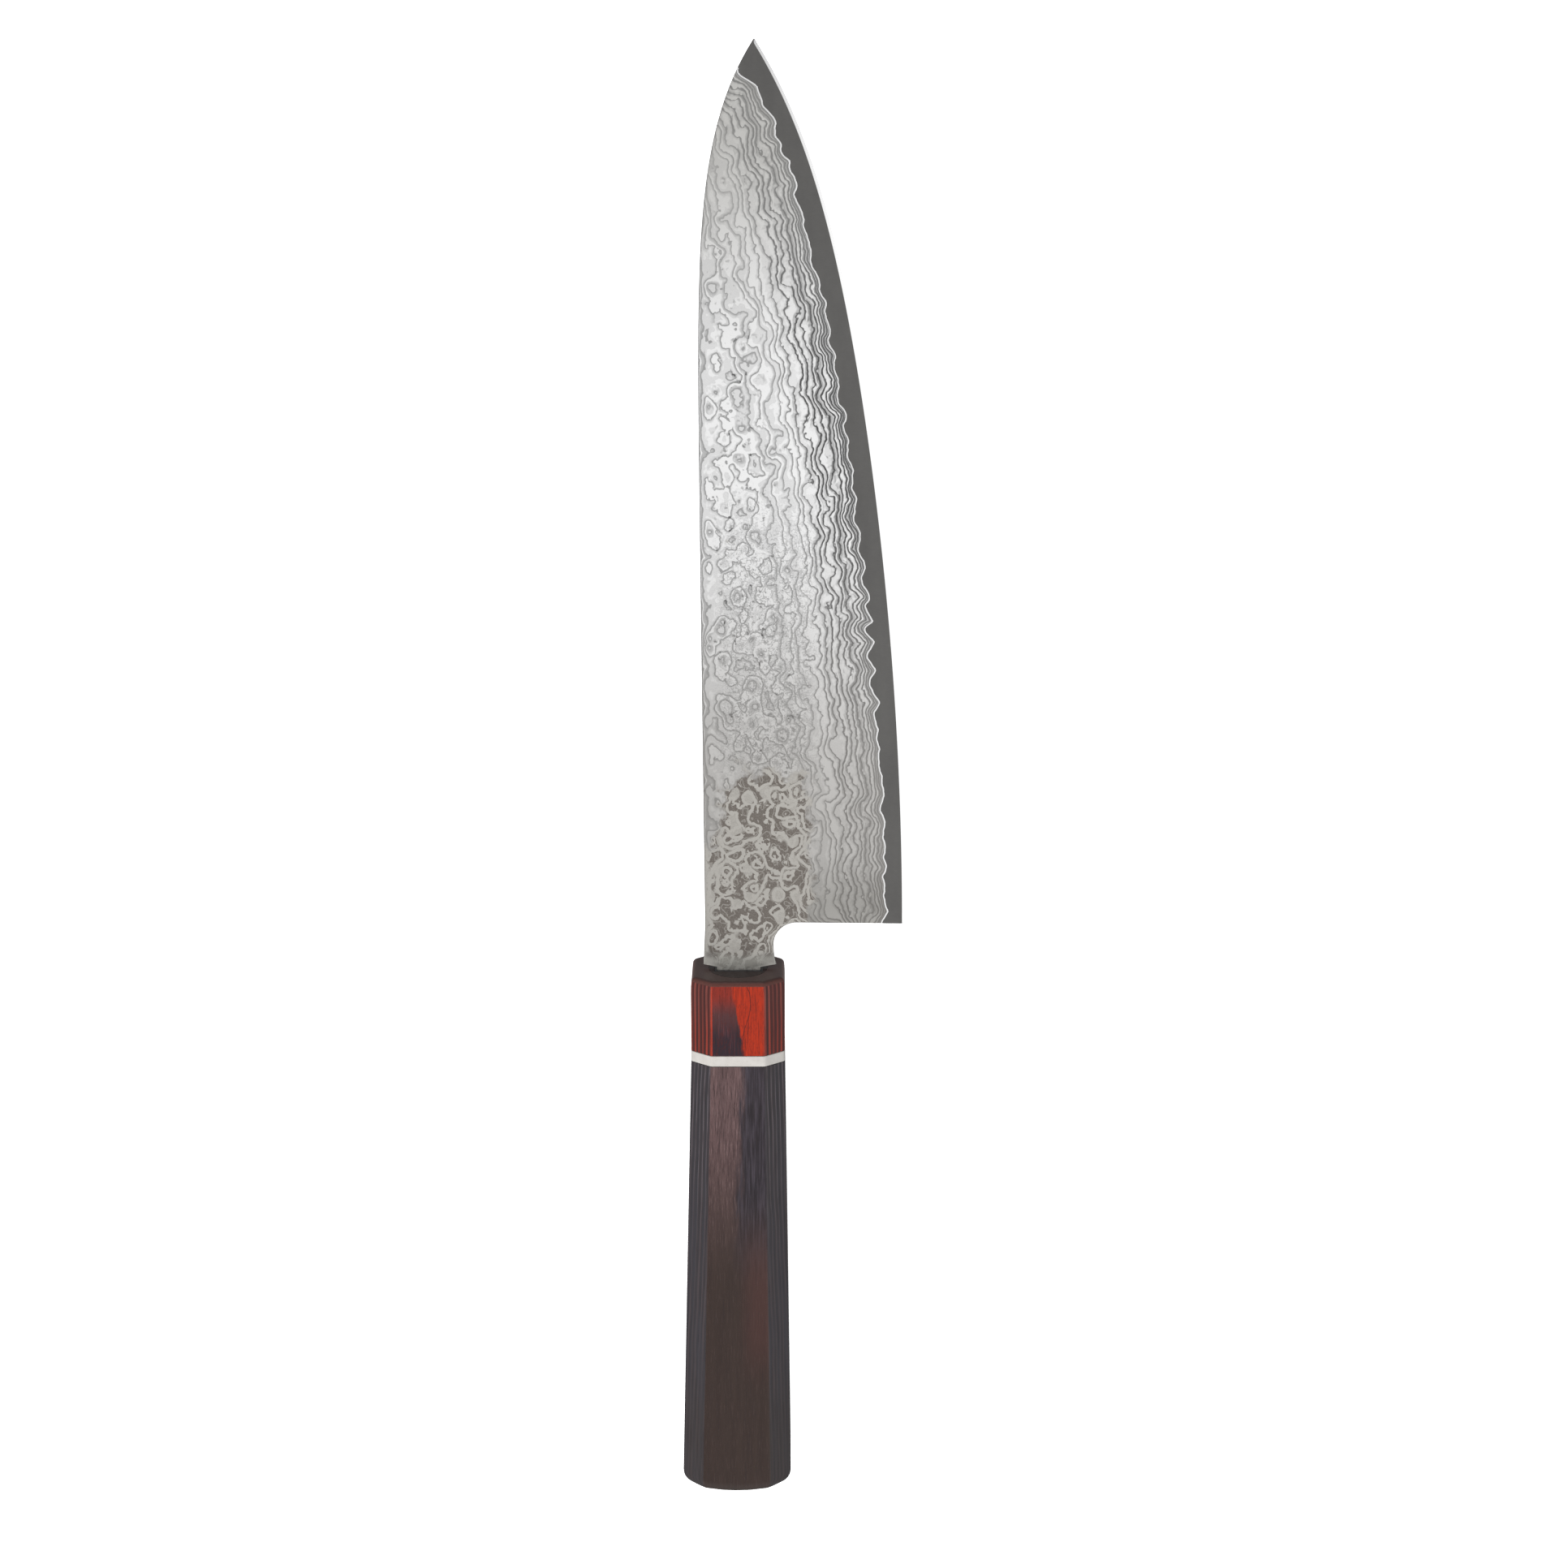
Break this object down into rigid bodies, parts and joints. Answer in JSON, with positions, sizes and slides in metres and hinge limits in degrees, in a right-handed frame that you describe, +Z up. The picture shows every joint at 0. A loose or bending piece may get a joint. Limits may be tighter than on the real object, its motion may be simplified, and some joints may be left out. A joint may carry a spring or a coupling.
{
  "type": "chef knife",
  "caption": "Japanese-style chef knife with a patterned clad blade, bare core edge and an octagonal laminated-wood handle with a red ferrule and white spacer.",
  "frame": {"origin": "middle of the bounding box's underside, the knife lying on its side with the blade level", "axes": "+Y from the butt to the tip, +X from the spine to the cutting edge, +Z up, square to the blade's faces"},
  "size_m": [0.0542, 0.354, 0.0242],
  "materials": {
    "core_steel": "dark satin core steel with a bright ground edge",
    "patterned_steel": "etched layered steel, light and dark wavy lines and rings, satin",
    "red_laminate": "red and black resin-laminated wood, polished",
    "white_spacer": "off-white resin, polished flush",
    "dark_laminate": "dark brown to blue-black resin-laminated wood, satin polish",
    "dowel_wood": "stained softwood",
    "black_filler": "black epoxy filler"
  },
  "bodies": {
    "root": {"blade_core": "core_steel", "cladding_left": "patterned_steel", "cladding_right": "patterned_steel", "ferrule": "red_laminate", "spacer_ring": "white_spacer", "handle_body": "dark_laminate", "tang_dowel": "dowel_wood", "tang_seal": "black_filler"}
  },
  "joints": []
}
